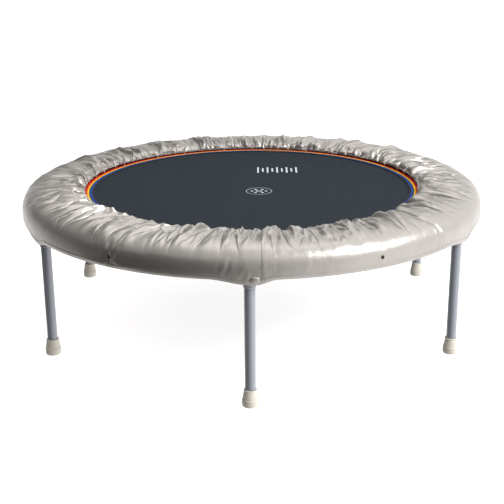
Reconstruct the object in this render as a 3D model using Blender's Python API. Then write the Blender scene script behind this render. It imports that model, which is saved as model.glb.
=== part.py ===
"""A mini trampoline: a steel ring on six screw-in legs, a sprung mat and a padded cover.

The trampoline stands on z = 0, centred on the Z axis. Its first leg is at LEG_START, and one leg faces -Y.
"""

from math import cos, hypot, pi, radians, sin

import bmesh
import bpy
from mathutils import Matrix

# Driving dimensions, in metres
FRAME_RADIUS = 0.574
FRAME_HEIGHT = 0.335
FRAME_TUBE_RADIUS = 0.016
FRAME_WALL = 0.0015
FRAME_TUBE_SIDES = 10

LEG_COUNT = 6
LEG_START = radians(30)
LEG_RADIUS = 0.0125
LEG_WALL = 0.0015
LEG_TOP = 0.2830
LEG_BOTTOM = 0.0060
LEG_PLUG_LENGTH = 0.020
STUD_RADIUS = 0.0060
STUD_LENGTH = 0.0315

SOCKET_RADIUS = 0.0145
SOCKET_BORE_RADIUS = 0.0068
SOCKET_BOTTOM = 0.2870
COLLAR_RADIUS = 0.0142

FOOT_RADIUS = 0.0192
FOOT_HEIGHT = 0.0410

SPRING_COUNT = 30
SPRING_RADIUS = 0.0060
SPRING_WIRE_RADIUS = 0.0012
SPRING_HOOK_LENGTH = 0.017

MAT_RADIUS = 0.4495
MAT_TOP = 0.3556
MAT_THICKNESS = 0.0012
WEBBING_INNER_RADIUS = 0.4155
WEBBING_OUTER_RADIUS = 0.4580
WEBBING_LAYER = 0.0012

COVER_THICKNESS = 0.0015
HEM_DROP = 0.0150
HEM_DROP_HALF_ANGLE = radians(15)
ELASTIC_RADIUS = 0.0016

GAP = 0.0003
RING_STEPS = 60
TURNED_STEPS = 16
NO_TILT = Matrix.Identity(4)


def clear_scene():
    for thing in list(bpy.data.objects):
        bpy.data.objects.remove(thing, do_unlink=True)


def make_material(name, colour, roughness, metallic=0.0):
    material = bpy.data.materials.new(name)
    material.use_nodes = True
    shader = material.node_tree.nodes["Principled BSDF"]
    shader.inputs["Base Color"].default_value = (*colour, 1.0)
    shader.inputs["Roughness"].default_value = roughness
    shader.inputs["Metallic"].default_value = metallic
    return material


def add_object(name, mesh, material, origin=(0.0, 0.0, 0.0)):
    """Put a mesh in the scene, smooth where it is round, with its origin at the given place."""
    mesh.materials.append(material)
    mesh.shade_smooth()
    mesh.set_sharp_from_angle(angle=radians(40))
    thing = bpy.data.objects.new(name, mesh)
    thing.location = origin
    bpy.context.scene.collection.objects.link(thing)
    return thing


def add_turned(shape, outline, steps, closed):
    """Turn an outline of (radius, height) points about Z; the solid is on the left of its direction."""
    rings = []
    for step in range(steps):
        angle = 2 * pi * step / steps
        rings.append([shape.verts.new((r * cos(angle), r * sin(angle), z)) for r, z in outline])
    points = len(outline)
    last = points if closed else points - 1
    for step in range(steps):
        here = rings[step]
        there = rings[(step + 1) % steps]
        for point in range(last):
            above = (point + 1) % points
            shape.faces.new((here[point], there[point], there[above], here[above]))


def turned_mesh(name, outlines, steps, closed=True, placed=NO_TILT):
    """One mesh of one or more turned outlines; points on the axis are merged into poles."""
    shape = bmesh.new()
    for outline in outlines:
        add_turned(shape, outline, steps, closed)
    bmesh.ops.remove_doubles(shape, verts=shape.verts, dist=1e-6)
    bmesh.ops.transform(shape, matrix=placed, verts=shape.verts)
    mesh = bpy.data.meshes.new(name)
    shape.to_mesh(mesh)
    shape.free()
    return mesh


def circle_outline(radius, height, section_radius, sides, first_angle=0.0):
    return [
        (
            radius + section_radius * cos(first_angle + 2 * pi * side / sides),
            height + section_radius * sin(first_angle + 2 * pi * side / sides),
        )
        for side in range(sides)
    ]


def inset_points(points, distance):
    """Move an open outline to the right of its direction, by the mean normal at each point."""
    moved = []
    for index, (r, z) in enumerate(points):
        before = points[max(index - 1, 0)]
        after = points[min(index + 1, len(points) - 1)]
        along_r = after[0] - before[0]
        along_z = after[1] - before[1]
        length = hypot(along_r, along_z)
        moved.append((r + distance * along_z / length, z - distance * along_r / length))
    return moved


def leg_angles():
    return [LEG_START + 2 * pi * leg / LEG_COUNT for leg in range(LEG_COUNT)]


def leg_place(angle):
    return (FRAME_RADIUS * cos(angle), FRAME_RADIUS * sin(angle), 0.0)


def cut(target, cutter):
    """Subtract a cutter from a target and leave the cutter out of the model."""
    cutter.display_type = "WIRE"
    cutter.hide_render = True
    cutter.hide_viewport = True
    boolean = target.modifiers.new(cutter.name, "BOOLEAN")
    boolean.operation = "DIFFERENCE"
    boolean.solver = "EXACT"
    boolean.object = cutter


def make_frame_ring(material):
    """The rolled ring tube. A hole above each leg's stud opens its hollow."""
    outer = circle_outline(FRAME_RADIUS, FRAME_HEIGHT, FRAME_TUBE_RADIUS, FRAME_TUBE_SIDES)
    inner = circle_outline(FRAME_RADIUS, FRAME_HEIGHT, FRAME_TUBE_RADIUS - FRAME_WALL, FRAME_TUBE_SIDES)
    mesh = turned_mesh("frame_ring", [outer, inner[::-1]], RING_STEPS)
    ring = add_object("frame_ring", mesh, material)
    drill_top = FRAME_HEIGHT
    drill_bottom = FRAME_HEIGHT - 2 * FRAME_TUBE_RADIUS
    for number, angle in enumerate(leg_angles(), start=1):
        outline = [(0.0, drill_bottom), (SOCKET_BORE_RADIUS, drill_bottom), (SOCKET_BORE_RADIUS, drill_top)]
        outline.append((0.0, drill_top))
        drill_mesh = turned_mesh(f"stud_hole_{number}", [outline], 8, closed=False)
        cut(ring, add_object(f"stud_hole_{number}", drill_mesh, material, leg_place(angle)))


def make_sockets(material):
    """Sleeves welded under the ring, each with a saddle cut to the ring tube."""
    top = FRAME_HEIGHT - 0.4 * FRAME_TUBE_RADIUS
    outline = [
        (SOCKET_BORE_RADIUS, SOCKET_BOTTOM),
        (SOCKET_RADIUS, SOCKET_BOTTOM),
        (SOCKET_RADIUS, top),
        (SOCKET_BORE_RADIUS, top),
    ]
    reach = 2 * SOCKET_RADIUS
    saddle_radius = FRAME_TUBE_RADIUS + GAP
    saddle = [(0.0, -reach), (saddle_radius, -reach), (saddle_radius, reach), (0.0, reach)]
    for number, angle in enumerate(leg_angles(), start=1):
        mesh = turned_mesh(f"leg_socket_{number}", [outline], TURNED_STEPS)
        socket = add_object(f"leg_socket_{number}", mesh, material, leg_place(angle))
        lie_along_ring = Matrix.Rotation(angle, 4, "Z") @ Matrix.Rotation(radians(90), 4, "X")
        saddle_mesh = turned_mesh(f"saddle_{number}", [saddle], 20, closed=False, placed=lie_along_ring)
        ring_centre = (*leg_place(angle)[:2], FRAME_HEIGHT)
        cut(socket, add_object(f"saddle_{number}", saddle_mesh, material, ring_centre))


def make_collars(material):
    """Flat rings on the studs, between each leg's shoulder and its socket."""
    bottom = LEG_TOP + GAP
    top = SOCKET_BOTTOM - GAP
    outline = [
        (SOCKET_BORE_RADIUS, bottom),
        (COLLAR_RADIUS, bottom),
        (COLLAR_RADIUS, top),
        (SOCKET_BORE_RADIUS, top),
    ]
    mesh = turned_mesh("leg_collar", [outline], TURNED_STEPS)
    for number, angle in enumerate(leg_angles(), start=1):
        add_object(f"leg_collar_{number}", mesh.copy(), material, leg_place(angle))


def make_legs(material):
    """Straight tubes, open at the foot, each with a welded plug and stud on top."""
    bore = LEG_RADIUS - LEG_WALL
    plug_bottom = LEG_TOP - LEG_PLUG_LENGTH
    stud_top = LEG_TOP + STUD_LENGTH
    outline = [
        (0.0, plug_bottom),
        (bore, plug_bottom),
        (bore, LEG_BOTTOM),
        (LEG_RADIUS, LEG_BOTTOM),
        (LEG_RADIUS, LEG_TOP),
        (STUD_RADIUS, LEG_TOP),
        (STUD_RADIUS, stud_top),
        (0.0, stud_top),
    ]
    mesh = turned_mesh("leg", [outline], TURNED_STEPS, closed=False)
    for number, angle in enumerate(leg_angles(), start=1):
        add_object(f"leg_{number}", mesh.copy(), material, leg_place(angle))


def make_feet(material):
    """Rubber ferrules: a drum with a rounded sole, a step and a tapered neck with a lip."""
    mouth = LEG_RADIUS + GAP
    floor = LEG_BOTTOM - GAP
    sole = FOOT_RADIUS - 0.0030
    outline = [
        (0.0, 0.0),
        (sole, 0.0),
        (FOOT_RADIUS - 0.0008, 0.0025),
        (FOOT_RADIUS, 0.0170),
        (FOOT_RADIUS - 0.0011, 0.0195),
        (FOOT_RADIUS - 0.0040, FOOT_HEIGHT - 0.0030),
        (FOOT_RADIUS - 0.0048, FOOT_HEIGHT),
        (mouth, FOOT_HEIGHT),
        (mouth, floor),
        (0.0, floor),
    ]
    mesh = turned_mesh("foot", [outline], TURNED_STEPS, closed=False)
    for number, angle in enumerate(leg_angles(), start=1):
        add_object(f"foot_{number}", mesh.copy(), material, leg_place(angle))


def make_mat(material):
    bottom = MAT_TOP - MAT_THICKNESS
    outline = [(0.0, bottom), (MAT_RADIUS, bottom), (MAT_RADIUS, MAT_TOP), (0.0, MAT_TOP)]
    add_object("mat", turned_mesh("mat", [outline], RING_STEPS, closed=False), material)


def make_webbing(material):
    """A band folded over the mat's edge, open towards the middle."""
    above = MAT_TOP + GAP
    below = MAT_TOP - MAT_THICKNESS - GAP
    edge = MAT_RADIUS + GAP
    outline = [
        (WEBBING_INNER_RADIUS, above),
        (edge, above),
        (edge, below),
        (WEBBING_INNER_RADIUS, below),
        (WEBBING_INNER_RADIUS, below - WEBBING_LAYER),
        (WEBBING_OUTER_RADIUS, below - WEBBING_LAYER),
        (WEBBING_OUTER_RADIUS, above + WEBBING_LAYER),
        (WEBBING_INNER_RADIUS, above + WEBBING_LAYER),
    ]
    add_object("mat_webbing", turned_mesh("mat_webbing", [outline], RING_STEPS), material)


def make_springs(material):
    """Coil springs as plain barrels with straight hook ends, from the webbing to the ring tube."""
    tube_side = radians(144)
    clear = FRAME_TUBE_RADIUS + SPRING_WIRE_RADIUS + GAP
    frame_end_r = FRAME_RADIUS + clear * cos(tube_side)
    frame_end_z = FRAME_HEIGHT + clear * sin(tube_side)
    mat_end_r = WEBBING_OUTER_RADIUS + 2 * GAP
    mat_end_z = MAT_TOP - MAT_THICKNESS / 2
    length = hypot(frame_end_r - mat_end_r, frame_end_z - mat_end_z)
    shoulder = SPRING_RADIUS - SPRING_WIRE_RADIUS
    outline = [
        (0.0, 0.0),
        (SPRING_WIRE_RADIUS, 0.0),
        (SPRING_WIRE_RADIUS, SPRING_HOOK_LENGTH),
        (SPRING_RADIUS, SPRING_HOOK_LENGTH + shoulder),
        (SPRING_RADIUS, length - SPRING_HOOK_LENGTH - shoulder),
        (SPRING_WIRE_RADIUS, length - SPRING_HOOK_LENGTH),
        (SPRING_WIRE_RADIUS, length),
        (0.0, length),
    ]
    tilt = pi / 2 + (mat_end_z - frame_end_z) / length
    for number in range(SPRING_COUNT):
        angle = 2 * pi * number / SPRING_COUNT
        point_outwards = Matrix.Rotation(angle, 4, "Z") @ Matrix.Rotation(tilt, 4, "Y")
        mesh = turned_mesh(f"spring_{number + 1:02d}", [outline], 6, closed=False, placed=point_outwards)
        origin = (mat_end_r * cos(angle), mat_end_r * sin(angle), mat_end_z)
        add_object(f"spring_{number + 1:02d}", mesh, material, origin)


def cover_outline():
    """The cover's outer side, from the lip under its inner edge to the hem."""
    return [
        (0.4425, 0.3596),
        (0.4400, 0.3615),
        (0.4398, 0.3650),
        (0.4420, 0.3678),
        (0.4560, 0.3715),
        (0.4850, 0.3755),
        (0.5300, 0.3775),
        (0.5650, 0.3750),
        (0.5860, 0.3665),
        (0.5970, 0.3515),
        (0.6000, 0.3330),
        (0.5980, 0.3170),
        (0.5935, 0.3070),
    ]


def make_foam_pad(material):
    """A flat foam strip over the springs and the ring, rounded up to meet the cover."""
    outline = [
        (0.4560, 0.3595),
        (0.5840, 0.3595),
        (0.5840, 0.3630),
        (0.5630, 0.3720),
        (0.5300, 0.3745),
        (0.4850, 0.3725),
        (0.4560, 0.3685),
    ]
    add_object("foam_pad", turned_mesh("foam_pad", [outline], RING_STEPS), material)


def drop_hem(mesh):
    """Draw the side wall down around the top of each leg."""
    wall_top = FRAME_HEIGHT
    hem = cover_outline()[-1][1]
    for vertex in mesh.vertices:
        x, y, z = vertex.co
        if z >= wall_top:
            continue
        for angle in leg_angles():
            across = hypot(x - leg_place(angle)[0], y - leg_place(angle)[1]) / FRAME_RADIUS
            if across < HEM_DROP_HALF_ANGLE:
                share = 0.5 + 0.5 * cos(pi * across / HEM_DROP_HALF_ANGLE)
                vertex.co.z -= HEM_DROP * share * (wall_top - z) / (wall_top - hem)


def make_cover(material):
    outer = cover_outline()
    inner = inset_points(outer, COVER_THICKNESS)
    mesh = turned_mesh("cover", [inner + outer[::-1]], RING_STEPS)
    drop_hem(mesh)
    add_object("cover", mesh, material)


def make_cover_elastic(material):
    outline = circle_outline(0.4440, 0.3634, ELASTIC_RADIUS, 5, radians(90))
    add_object("cover_elastic", turned_mesh("cover_elastic", [outline], RING_STEPS), material)


def main():
    clear_scene()
    powder_coat = make_material("powder_coated_steel", (0.40, 0.43, 0.48), 0.35, 0.2)
    socket_steel = make_material("socket_steel", (0.48, 0.50, 0.53), 0.35, 0.3)
    collar_plastic = make_material("collar_plastic", (0.62, 0.64, 0.66), 0.45)
    cream_rubber = make_material("cream_rubber", (0.74, 0.69, 0.58), 0.6)
    spring_steel = make_material("spring_steel", (0.55, 0.55, 0.56), 0.3, 1.0)
    mat_fabric = make_material("mat_fabric", (0.035, 0.045, 0.052), 0.75)
    striped_webbing = make_material("striped_webbing", (0.45, 0.12, 0.03), 0.7)
    foam = make_material("foam", (0.75, 0.75, 0.72), 0.9)
    silver_nylon = make_material("silver_nylon", (0.38, 0.36, 0.33), 0.4, 0.2)
    elastic = make_material("elastic", (0.55, 0.53, 0.50), 0.8)
    make_frame_ring(powder_coat)
    make_sockets(socket_steel)
    make_collars(collar_plastic)
    make_legs(powder_coat)
    make_feet(cream_rubber)
    make_springs(spring_steel)
    make_mat(mat_fabric)
    make_webbing(striped_webbing)
    make_foam_pad(foam)
    make_cover(silver_nylon)
    make_cover_elastic(elastic)


main()
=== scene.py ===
"""The looks of the mini trampoline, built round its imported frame, in the order it is put together."""

from math import cos, pi, radians, sin, sqrt, tau

import bmesh
import bpy
import numpy as np
from mathutils import Matrix, Vector


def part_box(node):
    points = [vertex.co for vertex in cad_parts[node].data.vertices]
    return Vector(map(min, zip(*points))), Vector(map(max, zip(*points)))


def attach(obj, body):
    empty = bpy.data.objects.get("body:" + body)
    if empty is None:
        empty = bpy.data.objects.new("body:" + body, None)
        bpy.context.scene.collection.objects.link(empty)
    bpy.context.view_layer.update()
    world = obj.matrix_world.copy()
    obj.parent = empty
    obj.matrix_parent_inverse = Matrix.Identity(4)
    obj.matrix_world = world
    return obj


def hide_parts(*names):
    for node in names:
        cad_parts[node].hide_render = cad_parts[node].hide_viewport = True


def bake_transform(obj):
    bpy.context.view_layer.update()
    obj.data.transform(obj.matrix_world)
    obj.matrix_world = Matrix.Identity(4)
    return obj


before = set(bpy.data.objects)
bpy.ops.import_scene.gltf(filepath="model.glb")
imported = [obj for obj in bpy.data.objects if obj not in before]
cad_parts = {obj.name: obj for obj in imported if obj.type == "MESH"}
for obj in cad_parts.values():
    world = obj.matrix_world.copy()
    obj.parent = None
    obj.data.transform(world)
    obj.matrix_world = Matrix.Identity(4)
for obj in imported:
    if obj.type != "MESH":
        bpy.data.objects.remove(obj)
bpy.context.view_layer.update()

# ---------------------------------------------------------------------------
# Ring tube
# A 32 mm steel tube is rolled into a circle, butt-welded and powder-coated blue-grey.
# Thirty holes are punched into its hollow, one for each spring's hook.

ring_low, ring_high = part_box("frame_ring")
TUBE_RADIUS = 0.0160
TUBE_WALL = 0.0015
RING_RADIUS = ring_high.x - TUBE_RADIUS
RING_HEIGHT = (ring_low.z + ring_high.z) / 2
SPRINGS = 30
DRILL_START = 0.006
DRILL_END = 0.024
HOOK_HOLE_RADIUS = 0.0042
HOOK_HOLE_TILT = radians(144)


def loft(name, rings, closed_ring=True, closed_path=True):
    """Join rings of points into one skin, with a UV map in metres along the path and round the ring."""
    points = np.array(rings, float)
    count, around = points.shape[:2]
    along_step = np.linalg.norm(np.roll(points, -1, 0) - points, axis=2).max(1)
    ring_step = np.linalg.norm(np.roll(points, -1, 1) - points, axis=2).mean(0)
    along = np.concatenate([[0.0], np.cumsum(along_step)])
    across = np.concatenate([[0.0], np.cumsum(ring_step)])
    faces = []
    uvs = []
    for i in range(count if closed_path else count - 1):
        j = (i + 1) % count
        for k in range(around if closed_ring else around - 1):
            m = (k + 1) % around
            faces.append((i * around + k, j * around + k, j * around + m, i * around + m))
            uvs += [(along[i], across[k]), (along[i + 1], across[k])]
            uvs += [(along[i + 1], across[k + 1]), (along[i], across[k + 1])]
    mesh = bpy.data.meshes.new(name)
    mesh.from_pydata(points.reshape(-1, 3).tolist(), [], faces)
    mesh.uv_layers.new(name="UVMap").data.foreach_set("uv", np.array(uvs, np.float32).ravel())
    shape = bmesh.new()
    shape.from_mesh(mesh)
    bmesh.ops.remove_doubles(shape, verts=shape.verts, dist=1e-6)
    shape.to_mesh(mesh)
    shape.free()
    return mesh


def spun(outline, angles, centre=(0.0, 0.0)):
    """The outline's (radius, height) points at each angle round a centre."""
    x, y = centre
    return [[(x + r * cos(turn), y + r * sin(turn), z) for r, z in outline] for turn in angles]


def turned(name, outline, steps, closed=True, centre=(0.0, 0.0)):
    """Turn an outline all the way round; the solid is on the left of its direction."""
    angles = [tau * step / steps for step in range(steps)]
    return loft(name, spun(outline, angles, centre), closed_ring=closed)


def circle(radius, height, section_radius, sides):
    return [
        (radius + section_radius * cos(tau * k / sides), height + section_radius * sin(tau * k / sides))
        for k in range(sides)
    ]


def joined(name, meshes):
    """One mesh of several, which stay separate shells."""
    shape = bmesh.new()
    for mesh in meshes:
        shape.from_mesh(mesh)
    whole = bpy.data.meshes.new(name)
    shape.to_mesh(whole)
    shape.free()
    return whole


def along_z(direction):
    """The turn that lays the Z axis along a direction."""
    return direction.to_track_quat("Z", "Y").to_matrix().to_4x4()


def in_scene(name, data):
    """A new object in the scene's collection."""
    thing = bpy.data.objects.new(name, data)
    bpy.context.scene.collection.objects.link(thing)
    return thing


def settled(holder):
    """The mesh of an object after its modifiers; the object itself is removed."""
    bpy.context.view_layer.update()
    made = bpy.data.meshes.new_from_object(holder.evaluated_get(bpy.context.evaluated_depsgraph_get()))
    bpy.data.objects.remove(holder)
    return made


def add_piece(name, mesh, material, body=None, stands_for=()):
    """Put a finished mesh in the scene, smooth where it is round, and let it ride on its body."""
    mesh.materials.clear()
    mesh.materials.append(material)
    mesh.shade_smooth()
    mesh.set_sharp_from_angle(angle=radians(38))
    piece = in_scene(name, mesh)
    if body:
        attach(piece, body)
    if stands_for:
        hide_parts(*stands_for)
    return piece


def add_node(tree, kind, inputs=None, **settings):
    """Add a node, set its properties, and set or wire its inputs by name or number."""
    node = tree.nodes.new(kind)
    for name, value in settings.items():
        setattr(node, name, value)
    for name, value in (inputs or {}).items():
        if isinstance(value, bpy.types.NodeSocket):
            tree.links.new(value, node.inputs[name])
        else:
            node.inputs[name].default_value = value
    return node


def sum_of(tree, operation, first, second=0.0, third=0.0):
    """The output of one Math node."""
    return add_node(tree, "ShaderNodeMath", {0: first, 1: second, 2: third}, operation=operation).outputs[0]


def vector_of(tree, operation, first, second=None):
    """The output of one Vector Math node; a scale's second input is its factor."""
    inputs = {0: first} if second is None else {0: first, 3 if operation == "SCALE" else 1: second}
    return add_node(tree, "ShaderNodeVectorMath", inputs, operation=operation).outputs[0]


def xyz(tree, x=0.0, y=0.0, z=0.0):
    """A vector from three numbers or sockets."""
    return add_node(tree, "ShaderNodeCombineXYZ", {0: x, 1: y, 2: z}).outputs[0]


def noise_of(tree, place, scale, detail):
    """A noise texture's value."""
    inputs = {"Vector": place, "Scale": scale, "Detail": detail}
    return add_node(tree, "ShaderNodeTexNoise", inputs).outputs[0]


def between(tree, share, first, second):
    """A colour from first, where share is 0, to second, where it is 1."""
    inputs = {0: share, 6: first, 7: second}
    return add_node(tree, "ShaderNodeMix", inputs, data_type="RGBA").outputs[2]


def ranged(tree, value, low, high, to_low, to_high):
    """A value from one range, clamped and spread over another."""
    inputs = {0: value, 1: low, 2: high, 3: to_low, 4: to_high}
    return add_node(tree, "ShaderNodeMapRange", inputs).outputs[0]


def new_tree(name, kind, inputs, outputs):
    """A node tree with named sockets; gives the tree, its input sockets and its output node.

    An input is a number, a colour, or the kind of a socket that has no value of its own."""
    kinds = {float: "Float", int: "Int", tuple: "Color"}
    tree = bpy.data.node_groups.new(name, kind)
    for label, value in inputs.items():
        kind_of = value if isinstance(value, str) else kinds[type(value)]
        socket = tree.interface.new_socket(name=label, in_out="INPUT", socket_type=f"NodeSocket{kind_of}")
        if not isinstance(value, str):
            socket.default_value = value
    for label, kind_of in outputs.items():
        tree.interface.new_socket(name=label, in_out="OUTPUT", socket_type=f"NodeSocket{kind_of}")
    return tree, tree.nodes.new("NodeGroupInput").outputs, tree.nodes.new("NodeGroupOutput")


def grain_group():
    """Uneven colour at a broad scale and a fine grain as height, for coats, rubber, plastic and foam."""
    tree, given, out = new_tree(
        "surface_grain",
        "ShaderNodeTree",
        {
            "Position": "Vector", "Colour": (0.5, 0.5, 0.5, 1.0), "Shade": (0.4, 0.4, 0.4, 1.0),
            "Patch Scale": 20.0, "Grain Scale": 900.0,
        },
        {"Colour": "Color", "Height": "Float"},
    )
    patches = noise_of(tree, given["Position"], given["Patch Scale"], 4.0)
    grain = noise_of(tree, given["Position"], given["Grain Scale"], 2.0)
    tree.links.new(between(tree, patches, given["Colour"], given["Shade"]), out.inputs["Colour"])
    tree.links.new(grain, out.inputs["Height"])
    return tree


def new_material(name, finish):
    """A Principled material with its constant values set on the shader's own sockets."""
    material = bpy.data.materials.new(name)
    material.use_nodes = True
    shader = material.node_tree.nodes["Principled BSDF"]
    for socket, value in finish.items():
        shader.inputs[socket].default_value = value
    return material, material.node_tree, shader


def add_bump(tree, shader, height, strength, distance):
    """Feed a height to the shader's normal; gives the bump node, so that another can feed it."""
    inputs = {"Height": height, "Strength": strength, "Distance": distance}
    bump = add_node(tree, "ShaderNodeBump", inputs)
    tree.links.new(bump.outputs["Normal"], shader.inputs["Normal"])
    return bump


def grained_material(name, colour, shade, finish, patch_scale, grain_scale, bump_strength, bump_distance):
    """A material whose colour varies a little and whose surface has the finish's own grain."""
    material, tree, shader = new_material(name, finish)
    place = add_node(tree, "ShaderNodeTexCoord").outputs["Object"]
    grain = add_node(tree, "ShaderNodeGroup", node_tree=SURFACE_GRAIN)
    grain.inputs["Colour"].default_value = (*colour, 1.0)
    grain.inputs["Shade"].default_value = (*shade, 1.0)
    grain.inputs["Patch Scale"].default_value = patch_scale
    grain.inputs["Grain Scale"].default_value = grain_scale
    tree.links.new(place, grain.inputs["Position"])
    tree.links.new(grain.outputs["Colour"], shader.inputs["Base Color"])
    add_bump(tree, shader, grain.outputs["Height"], bump_strength, bump_distance)
    return material


SURFACE_GRAIN = grain_group()
POWDER_COAT = grained_material(
    "powder_coated_steel", colour=(0.285, 0.306, 0.345), shade=(0.245, 0.264, 0.300),
    finish={"Roughness": 0.32, "Metallic": 0.15, "Coat Weight": 0.15, "Coat Roughness": 0.25},
    patch_scale=9.0, grain_scale=700.0, bump_strength=0.25, bump_distance=0.0003,
)


def punch_hook_holes(mesh):
    """Cut the thirty holes through the tube's wall with one Boolean."""
    drills = []
    radius = HOOK_HOLE_RADIUS
    outline = [(0.0, DRILL_START), (radius, DRILL_START), (radius, DRILL_END), (0.0, DRILL_END)]
    aim = along_z(Vector((cos(HOOK_HOLE_TILT), 0.0, sin(HOOK_HOLE_TILT))))
    for number in range(SPRINGS):
        angle = tau * number / SPRINGS
        drill = turned("drill", outline, 12, closed=False)
        place = Matrix.Translation((RING_RADIUS * cos(angle), RING_RADIUS * sin(angle), RING_HEIGHT))
        drill.transform(place @ (Matrix.Rotation(angle, 4, "Z") @ aim))
        drills.append(drill)
    cutter = in_scene("drills", joined("drills", drills))
    blank = in_scene("blank", mesh)
    boolean = blank.modifiers.new("holes", "BOOLEAN")
    boolean.operation = "DIFFERENCE"
    boolean.solver = "EXACT"
    boolean.object = cutter
    cut = settled(blank)
    bpy.data.objects.remove(cutter)
    return cut


tube_skin = turned("ring_tube", circle(RING_RADIUS, RING_HEIGHT, TUBE_RADIUS, 28), 240)
tube_bore = turned("ring_bore", circle(RING_RADIUS, RING_HEIGHT, TUBE_RADIUS - TUBE_WALL, 20)[::-1], 240)
ring_mesh = punch_hook_holes(joined("ring_tube", [tube_skin, tube_bore]))
add_piece("ring_tube", ring_mesh, POWDER_COAT, "frame", ["frame_ring"])

# ---------------------------------------------------------------------------
# Leg sleeves
# Each leg screws into a short steel sleeve, cut to a saddle and welded under the ring tube.
# The weld is a row of overlapping beads where the two tubes meet.

LEGS = 6
SLEEVE_RADIUS = 0.0145
SLEEVE_BORE = 0.0068
SLEEVE_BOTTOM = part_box("leg_socket_1")[0].z


def leg_angle(number):
    """Where a leg stands round the ring, read from its tube in the frame."""
    low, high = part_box(f"leg_{number}")
    middle = (low + high) / 2
    return np.arctan2(middle.y, middle.x)


def leg_centre(number):
    return (RING_RADIUS * cos(leg_angle(number)), RING_RADIUS * sin(leg_angle(number)))


def saddle_height(x):
    """The underside of the ring tube at a distance across it."""
    return RING_HEIGHT - sqrt(TUBE_RADIUS**2 - x**2) - 0.0002


def sleeve_mesh(angle):
    rings = []
    for step in range(40):
        turn = tau * step / 40
        across = cos(turn)
        outline = [
            (SLEEVE_BORE, SLEEVE_BOTTOM + 0.0004), (SLEEVE_BORE + 0.0004, SLEEVE_BOTTOM),
            (SLEEVE_RADIUS - 0.0008, SLEEVE_BOTTOM),
            (SLEEVE_RADIUS - 0.0002, SLEEVE_BOTTOM + 0.0002),
            (SLEEVE_RADIUS, SLEEVE_BOTTOM + 0.0008),
            (SLEEVE_RADIUS, saddle_height(SLEEVE_RADIUS * across)),
            (SLEEVE_BORE, saddle_height(SLEEVE_BORE * across)),
        ]
        rings.append([(r * cos(turn), r * sin(turn), z) for r, z in outline])
    mesh = loft("leg_sleeve", rings)
    mesh.transform(Matrix.Rotation(angle, 4, "Z") @ Matrix.Translation((RING_RADIUS, 0.0, 0.0)))
    return mesh


def path_mesh(points, closed=True):
    """A bare line through points, for a tree to follow."""
    mesh = bpy.data.meshes.new("path")
    count = len(points)
    edges = [(k, (k + 1) % count) for k in range(count if closed else count - 1)]
    mesh.from_pydata([tuple(p) for p in points], edges, [])
    return mesh


def grown(name, tree, sizes, source=None):
    """What a Geometry Nodes tree makes from a mesh, as a plain mesh with no modifier."""
    holder = in_scene(name, source or bpy.data.meshes.new(name))
    maker = holder.modifiers.new(tree.name, "NODES")
    maker.node_group = tree
    for item in tree.interface.items_tree:
        if item.item_type == "SOCKET" and item.in_out == "INPUT" and item.name in sizes:
            maker[item.identifier] = sizes[item.name]
    made = settled(holder)
    made.name = name
    return made


def close_geometry(tree, geometry, material, out):
    """End a Geometry Nodes tree in Realize Instances and Set Material."""
    real = add_node(tree, "GeometryNodeRealizeInstances", {"Geometry": geometry})
    painted = add_node(tree, "GeometryNodeSetMaterial", {"Geometry": real.outputs[0], "Material": material})
    tree.links.new(painted.outputs[0], out.inputs["Geometry"])


def row_tree():
    """Small rounded pieces in a row along a path: weld beads, or stitches of thread."""
    tree, given, out = new_tree(
        "row_along_path",
        "GeometryNodeTree",
        {
            "Geometry": "Geometry", "Spacing": 0.004, "Length": 0.003, "Width": 0.001,
            "Unevenness": 0.1, "Seed": 1, "Material": "Material",
        },
        {"Geometry": "Geometry"},
    )
    curve = add_node(tree, "GeometryNodeMeshToCurve", {"Mesh": given["Geometry"]})
    spaced = {"Curve": curve.outputs[0], "Length": given["Spacing"]}
    points = add_node(tree, "GeometryNodeCurveToPoints", spaced, mode="LENGTH")
    bead = add_node(tree, "GeometryNodeMeshUVSphere", {"Segments": 6, "Rings": 4, "Radius": 0.5})
    smallest = sum_of(tree, "SUBTRACT", 1.0, given["Unevenness"])
    largest = sum_of(tree, "ADD", 1.0, given["Unevenness"])
    limits = {2: smallest, 3: largest, "Seed": given["Seed"]}
    share = add_node(tree, "FunctionNodeRandomValue", limits, data_type="FLOAT").outputs[1]
    width = sum_of(tree, "MULTIPLY", given["Width"], share)
    size = xyz(tree, width, width, sum_of(tree, "MULTIPLY", given["Length"], share))
    row = {"Points": points.outputs["Points"], "Instance": bead.outputs["Mesh"], "Scale": size}
    row["Rotation"] = points.outputs["Rotation"]
    placed = add_node(tree, "GeometryNodeInstanceOnPoints", row)
    close_geometry(tree, placed.outputs[0], given["Material"], out)
    return tree


ROW_ALONG_PATH = row_tree()
SLEEVE_STEEL = grained_material(
    "socket_steel", colour=(0.34, 0.36, 0.39), shade=(0.29, 0.31, 0.34),
    finish={"Roughness": 0.36, "Metallic": 0.2, "Coat Weight": 0.15, "Coat Roughness": 0.25},
    patch_scale=30.0, grain_scale=700.0, bump_strength=0.25, bump_distance=0.0003,
)


def weld_mesh(angle, number):
    rim = []
    for step in range(60):
        turn = tau * step / 60
        x = (SLEEVE_RADIUS + 0.0003) * cos(turn)
        y = (SLEEVE_RADIUS + 0.0003) * sin(turn)
        rim.append(Matrix.Rotation(angle, 3, "Z") @ Vector((RING_RADIUS + x, y, saddle_height(x) - 0.0004)))
    sizes = {"Spacing": 0.0021, "Length": 0.0040, "Width": 0.0034, "Unevenness": 0.12, "Seed": number}
    return grown("weld", ROW_ALONG_PATH, {**sizes, "Material": SLEEVE_STEEL}, path_mesh(rim))


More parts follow.
